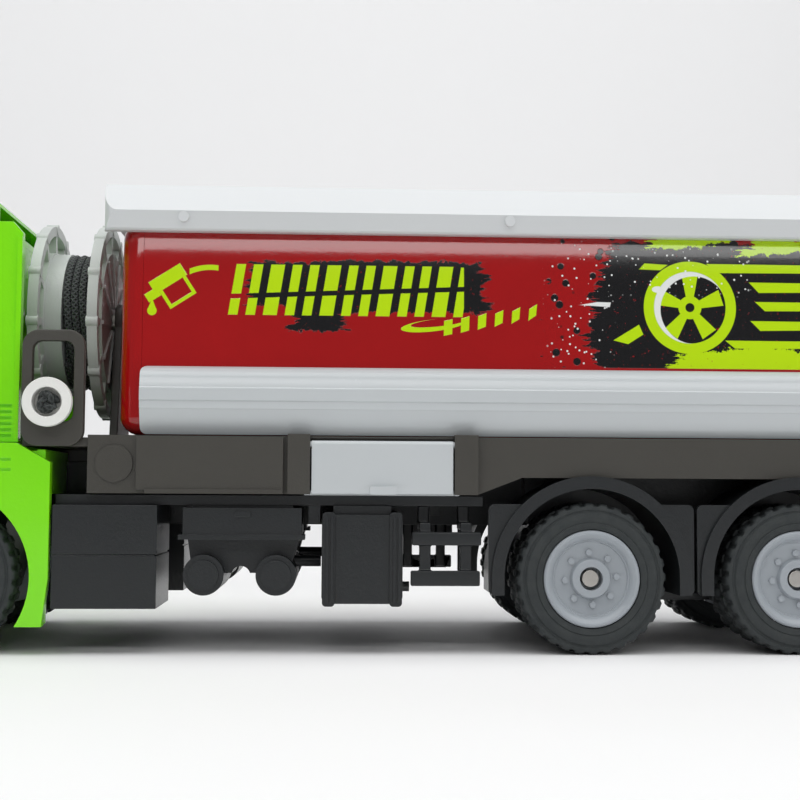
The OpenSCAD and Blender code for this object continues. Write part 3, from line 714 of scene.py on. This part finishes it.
class TANKER_OT_stage(bpy.types.Operator):
    """Camera, paper sweep and soft studio light"""

    bl_idname = "tanker.stage"
    bl_label = "Studio"

    def execute(self, context):
        scene = context.scene
        self.camera(scene)
        self.paper(scene, tuple(scene.tanker_colours.floor))
        ground, tank_side, backdrop = (0.0, 0.0, 0.0), (0.0, 0.0, 0.065), (0.0, 0.62, 0.25)
        self.light(scene, "Top softbox", (0.0, -0.20, 0.58), ground, (1.1, 0.4), 3.0)
        self.light(scene, "Strip softbox", (0.0, -0.73, 0.44), tank_side, (1.1, 0.11), 1.8)
        self.light(scene, "Backdrop light", (0.0, 0.05, 0.85), backdrop, (1.6, 0.3), 3.8)
        self.light(scene, "Right fill", (0.6, -0.25, 0.35), (0.03, 0.0, 0.03), (0.4, 0.4), 0.3)
        world = bpy.data.worlds.new("World")
        world.use_nodes = True
        background = world.node_tree.nodes["Background"]
        background.inputs["Color"].default_value = (0.97, 0.98, 1.0, 1.0)
        background.inputs["Strength"].default_value = 0.17
        scene.world = world
        scene.view_settings.view_transform = "Standard"
        return {"FINISHED"}

    def camera(self, scene):
        """A long lens close to the left side, a little below the tank, looking slightly up."""
        place = (-0.00747, -0.24395, 0.02601)
        yaw, pitch, roll = math.radians(2.726), math.radians(3.761), math.radians(-0.312)
        data = bpy.data.cameras.new("Camera")
        data.sensor_width = 36.0
        data.lens = 61.35
        data.clip_start = 0.005
        camera = bpy.data.objects.new("Camera", data)
        scene.collection.objects.link(camera)
        camera.matrix_world = (
            Matrix.Translation(place)
            @ Matrix.Rotation(-yaw, 4, "Z")
            @ Matrix.Rotation(math.radians(90.0) + pitch, 4, "X")
            @ Matrix.Rotation(-roll, 4, "Z")
        )
        scene.camera = camera

    def paper(self, scene, colour):
        """A paper sweep: flat floor, quarter-round bend and upright back."""
        bm = bmesh.new()
        reach, front, back, high, bend = 2.6, -2.6, 0.42, 1.6, 0.22
        verts = [bm.verts.new((-reach, y, 0.0)) for y in (front, back)]
        bm.edges.new(verts)
        arc = bmesh.ops.spin(
            bm, geom=[verts[1]], cent=Vector((-reach, back, bend)), axis=Vector((1.0, 0.0, 0.0)),
            angle=math.radians(90.0), steps=24,
        )["geom_last"]
        tip = next(g for g in arc if isinstance(g, bmesh.types.BMVert))
        top = bm.verts.new((-reach, back + bend, high))
        bm.edges.new((tip, top))
        wide = bmesh.ops.extrude_edge_only(bm, edges=bm.edges[:])["geom"]
        far = [g for g in wide if isinstance(g, bmesh.types.BMVert)]
        bmesh.ops.translate(bm, verts=far, vec=(2 * reach, 0.0, 0.0))
        bmesh.ops.recalc_face_normals(bm, faces=bm.faces)
        data = to_mesh(bm, "Paper", 60.0)
        paint = Paint("Studio paper")
        point, _ = paint.place()
        fold_relief_and_shade = paint.noise(point, 0.006, 3.0, 0.5)
        paint.set(
            # Painted shade: the base colour is a little darker in the low parts of the fold relief.
            Base_Color=paint.mix(fold_relief_and_shade, shade(colour, 0.985), colour),
            Roughness=0.75,
            Normal=paint.bump(fold_relief_and_shade, 6.0, 0.5),
        )
        data.materials.append(paint.material)
        paper = bpy.data.objects.new("Paper", data)
        scene.collection.objects.link(paper)

    def light(self, scene, name, place, target, size, power):
        """A rectangular area lamp, aimed at a target."""
        data = bpy.data.lights.new(name, "AREA")
        data.shape = "RECTANGLE"
        data.size, data.size_y = size
        data.energy = power
        lamp = bpy.data.objects.new(name, data)
        scene.collection.objects.link(lamp)
        lamp.location = place
        aim = Vector(target) - Vector(place)
        lamp.rotation_euler = aim.to_track_quat("-Z", "Y").to_euler()


def soften_all(context, names, factor=1.0, **options):
    """Rounded copies of several nodes, each with its slot's finish."""
    edge = context.scene.tanker_sizes.edge * factor
    for node in names:
        softened(node, edge, Finishes.made[NODE_SLOT[node]], **options)


class TANKER_OT_tank(bpy.types.Operator):
    """Printed tank, domed caps, roof walkway, lids and panniers"""

    bl_idname = "tanker.tank"
    bl_label = "Tank"

    def execute(self, context):
        soften_all(context, ["tank_shell"], 0.4)
        soften_all(context, ["tank_front_cap", "tank_rear_cap"], 0.0)
        soften_all(context, ["roof_walkway"], 1.6)
        soften_all(context, ["pannier_left", "pannier_right"], 0.7)
        soften_all(context, ["filler_lids"], 0.8)
        self.treads()
        return {"FINISHED"}

    def treads(self):
        """Raised grip bars on the walkway's floor, left out round the lids."""
        bm = bmesh.new()
        lids, lid_room = (-16.0, 30.0, 76.0), 9.0
        floor_z, first, last, pitch = 72.05, -39.5, 96.0, 2.4
        x = first
        while x < last:
            near = min(abs(x - lid) for lid in lids)
            inner = 8.6 if near < lid_room else 0.6
            for side in (-1, 1):
                bar(bm, (x, side * inner, floor_z), (x, side * 15.4, floor_z), 0.55, 0.5)
            x += pitch
        small_part(bm, "walkway_treads", "chassis", "walkway_white", 0.1)


class TANKER_OT_deck(bpy.types.Operator):
    """Deck with its raised boxes, side lockers and their doors"""

    bl_idname = "tanker.deck"
    bl_label = "Deck and lockers"

    def execute(self, context):
        soften_all(context, ["deck"], 1.4)
        soften_all(context, [
            "locker_tub_left", "locker_tub_right", "locker_door_left", "locker_door_right",
        ], 0.5)
        return {"FINISHED"}


class TANKER_OT_chassis(bpy.types.Operator):
    """Frame, boxes, tanks, mudguards, guards and lamps under the deck"""

    bl_idname = "tanker.chassis"
    bl_label = "Chassis"

    def execute(self, context):
        soften_all(context, [
            "chassis_frame", "battery_box_left", "battery_box_right", "tool_tray_left",
            "tool_tray_right", "air_tanks", "fuel_tank_left", "fuel_tank_right",
            "side_guard_left", "side_guard_right", "mudguards_left", "mudguards_right",
            "rear_lamp_bar",
        ], 1.3)
        soften_all(context, ["tail_lamps", "rear_ladder", "chassis_screws"], 0.4)
        return {"FINISHED"}


class TANKER_OT_cab(bpy.types.Operator):
    """Cab shell, base, fairings, glazing and everything on them"""

    bl_idname = "tanker.cab"
    bl_label = "Cab"

    def execute(self, context):
        soften_all(context, ["cab_shell", "cab_base", "cab_side_fairings", "roof_deflector"], 1.3)
        soften_all(context, ["cab_interior", "front_grille", "mirrors"])
        soften_all(context, ["cab_glazing", "headlights", "steering_wheel"], 0.5)
        self.wipers()
        self.handles()
        self.lamps()
        return {"FINISHED"}

    def wipers(self):
        """Two wipers laid on the windscreen, each an arm, a blade and a pivot."""
        bm = bmesh.new()
        for y in (-17.0, 4.0):
            disc(bm, (-101.2, y, 50.7), (-1.0, 0.0, 0.3), 0.8, 0.9)
            bar(bm, (-101.3, y, 50.9), (-100.3, y + 10.5, 54.6), 0.45, 0.35)
            bar(bm, (-100.65, y + 4.6, 53.2), (-100.05, y + 13.0, 55.4), 0.3, 0.6)
        small_part(bm, "wipers", "chassis", "black_plastic", 0.08)

    def handles(self):
        """Door handles, grab rails beside the doors and steps in the base."""
        bm = bmesh.new()
        for x, y, z in mirrored([(-80.0, -26.05, 45.3)]):
            bar(bm, (x - 1.7, y, z), (x + 1.7, y, z), 0.5, 0.7)
        for x, y, z in mirrored([(-74.6, -26.35, 38.0)]):
            bar(bm, (x, y, z), (x, y, z + 20.0), 0.7, 0.7, up=(1.0, 0.0, 0.0))
            for end in (z + 0.6, z + 19.4):
                bar(bm, (x, y, end), (x, y * 0.985, end), 0.6, 0.6)
        for x, y, z in mirrored([(-92.5, -28.0, 12.6), (-92.2, -28.0, 20.6)]):
            bar(bm, (x - 4.2, y, z), (x + 4.2, y, z), 0.9, 0.5)
        small_part(bm, "cab_handles", "chassis", "black_plastic", 0.12)

    def lamps(self):
        """Roof marker lamps, fog lamps and a blank plate on the front."""
        bm = bmesh.new()
        for y in (-16.0, -8.0, 8.0, 16.0):
            bar(bm, (-93.3, y - 1.3, 67.5), (-93.3, y + 1.3, 67.5), 1.0, 0.8)
        for y in (-21.0, 21.0):
            disc(bm, (-103.75, y, 13.4), (-1.0, 0.0, 0.0), 1.7, 0.3)
        small_part(bm, "marker_lamps", "chassis", "lamp_clear", 0.2)
        bm = bmesh.new()
        bar(bm, (-103.85, -6.5, 8.9), (-103.85, 6.5, 8.9), 0.2, 2.8)
        small_part(bm, "blank_plate", "chassis", "walkway_white", 0.06)


class TANKER_OT_reel(bpy.types.Operator):
    """Hose reel, wound braided hose, its lead, end ring and guide"""

    bl_idname = "tanker.reel"
    bl_label = "Hose reel"

    def execute(self, context):
        soften_all(context, ["reel_stand", "hose_reel", "reel_flange", "reel_shaft", "hose_guide"], 1.0)
        soften_all(context, ["hose_end_ring"], 1.2)
        self.winding(context)
        self.lead(context)
        return {"FINISHED"}

    def winding(self, context):
        """Three layers of turns in lanes side by side, each crossing over behind the drum."""
        sizes = context.scene.tanker_sizes
        low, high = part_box("hose_winding")
        centre = (low + high) / 2
        thick = sizes.hose_diameter
        radius = thick / 2
        width = high.x - low.x - thick
        lanes = int(width / thick + 0.02) + 1
        steps, layers, nesting, crossover, ripple = 40, 3, 0.86, 0.18, 0.00006
        bm = bmesh.new()
        lay = bm.verts.layers.float_vector.new("lay")
        along = 0.0
        for layer in range(layers):
            wound = sizes.wound_radius - radius - layer * thick * nesting
            path = []
            for k in range(lanes * steps - 4):
                lane, part = divmod(k, steps)
                over = min(1.0, max(0.0, (part / steps - 1.0 + crossover) / crossover))
                at = min((lane + over) * width / (lanes - 1), width)
                x = low.x + radius + at if layer % 2 == 0 else high.x - radius - at
                turn = math.tau * part / steps + math.pi * 0.75
                r = wound + ripple * math.sin(3 * turn + 2 * lane + layer)
                path.append(Vector((
                    x, centre.y - r * math.sin(turn), centre.z + r * math.cos(turn)
                )))
            along = tube(bm, path, radius, 14, lay, along)
        bmesh.ops.recalc_face_normals(bm, faces=bm.faces)
        piece = new_piece(
            "hose_turns", to_mesh(bm, "Wound hose", 60.0), NODE_BODY["hose_winding"],
            Finishes.made["hose_black"],
        )
        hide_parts("hose_winding")

    def lead(self, context):
        """The straight run from the winding to the ring."""
        sizes = context.scene.tanker_sizes
        low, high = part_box("hose_lead")
        reel_low, reel_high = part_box("hose_winding")
        ring_low, ring_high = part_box("hose_end_ring")
        radius = sizes.hose_diameter / 2
        lay_radius = sizes.wound_radius - radius
        tilt = math.atan2(high.z - low.z - 2 * radius, high.y - low.y)
        away = Vector((0.0, -math.cos(tilt), -math.sin(tilt)))
        start = Vector((
            (low.x + high.x) / 2,
            lay_radius * math.sin(tilt),
            (reel_low.z + reel_high.z) / 2 - lay_radius * math.cos(tilt),
        ))
        into_ring, count = 0.0004, 24
        length = (start.y - ring_high.y + into_ring) / math.cos(tilt)
        bm = bmesh.new()
        lay = bm.verts.layers.float_vector.new("lay")
        path = [start + away * length * k / count for k in range(count + 1)]
        tube(bm, path, radius, 14, lay)
        bmesh.ops.recalc_face_normals(bm, faces=bm.faces)
        data = to_mesh(bm, "Hose lead", 60.0)
        data.materials.append(Finishes.made["hose_black"])
        piece = bpy.data.objects.new("hose_run", data)
        context.scene.collection.objects.link(piece)
        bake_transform(piece)
        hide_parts("hose_lead")
        self.knot(ring_low, ring_high, radius)

    def knot(self, low, high, radius):
        """The hose's end, tied into a small knot inside the ring."""
        centre = (low + high) / 2
        wide, swing, sunk, weave = 0.00105, 0.00048, 0.00095, 0.00045
        count = 44
        bm = bmesh.new()
        lay = bm.verts.layers.float_vector.new("lay")
        path = []
        for k in range(count + 1):
            t = math.tau * k / count * 0.97
            r = (wide + swing * math.cos(3 * t)) * 0.95
            path.append(Vector((
                centre.x + r * math.cos(2 * t),
                low.y + sunk + weave * math.sin(3 * t),
                centre.z + r * math.sin(2 * t),
            )))
        tube(bm, path, radius * 0.8, 12, lay)
        bmesh.ops.recalc_face_normals(bm, faces=bm.faces)
        data = to_mesh(bm, "Hose knot", 60.0)
        new_piece("hose_knot", data, "hose_end", Finishes.made["hose_black"])


class TANKER_OT_wheels(bpy.types.Operator):
    """Rims, axle pins and lugged tyres"""

    bl_idname = "tanker.wheels"
    bl_label = "Wheels"

    def execute(self, context):
        sizes = context.scene.tanker_sizes
        soften_all(context, [
            "axle_front", "axle_rear_1", "axle_rear_2", "rims_front", "rim_rear_1_left",
            "rim_rear_1_right", "rim_rear_2_left", "rim_rear_2_right",
        ], 0.5, sharp_degrees=35.0)
        self.tyres("tyres_front", [-1, 1], 1, sizes)
        for axle in (1, 2):
            self.tyres(f"tyres_rear_{axle}_left", [-1], 2, sizes)
            self.tyres(f"tyres_rear_{axle}_right", [1], 2, sizes)
        return {"FINISHED"}

    def tyres(self, node, sides, rows, sizes):
        """All tyres of one node: on each given side, so many rows from outside inwards."""
        low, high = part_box(node)
        x = (low.x + high.x) / 2
        row_gap = 0.6 * MM
        joined = bmesh.new()
        for side in sides:
            edge = high.y if side > 0 else low.y
            for row in range(rows):
                bm = bmesh.new()
                inward = (sizes.tyre_width + row_gap) * row
                centre = Vector((x, edge - side * inward, sizes.tyre_radius))
                tyre_mesh(bm, centre, side, sizes)
                bmesh.ops.recalc_face_normals(bm, faces=bm.faces)
                joined.from_mesh(to_mesh(bm, node, 34.0))
        data = to_mesh(joined, node, 34.0)
        piece = new_piece(node + "_lugged", data, NODE_BODY[node], Finishes.made["tyre"])
        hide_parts(node)


class TANKER_PT_panel(bpy.types.Panel):
    """Lists the pieces of the truck"""

    bl_label = "Tanker truck"
    bl_idname = "TANKER_PT_panel"
    bl_space_type = "VIEW_3D"
    bl_region_type = "UI"
    bl_category = "Tanker"

    def draw(self, context):
        column = self.layout.column(align=True)
        for operator in OPERATORS:
            column.operator(operator.bl_idname)
        for group in (context.scene.tanker_colours, context.scene.tanker_sizes):
            for name in type(group).__annotations__:
                self.layout.prop(group, name)


OPERATORS = [
    TANKER_OT_stage, TANKER_OT_tank, TANKER_OT_deck, TANKER_OT_chassis, TANKER_OT_cab,
    TANKER_OT_reel, TANKER_OT_wheels,
]
CLASSES = [TankerColours, TankerSizes, *OPERATORS, TANKER_PT_panel]


def register():
    for cls in CLASSES:
        bpy.utils.register_class(cls)
    bpy.types.Scene.tanker_colours = PointerProperty(type=TankerColours)
    bpy.types.Scene.tanker_sizes = PointerProperty(type=TankerSizes)


def unregister():
    del bpy.types.Scene.tanker_sizes
    del bpy.types.Scene.tanker_colours
    for cls in reversed(CLASSES):
        bpy.utils.unregister_class(cls)


def main():
    register()
    make_finishes(bpy.context.scene.tanker_colours)
    for step in (
        bpy.ops.tanker.stage, bpy.ops.tanker.tank, bpy.ops.tanker.deck, bpy.ops.tanker.chassis,
        bpy.ops.tanker.cab, bpy.ops.tanker.reel, bpy.ops.tanker.wheels,
    ):
        step()


if __name__ == "__main__":
    main()
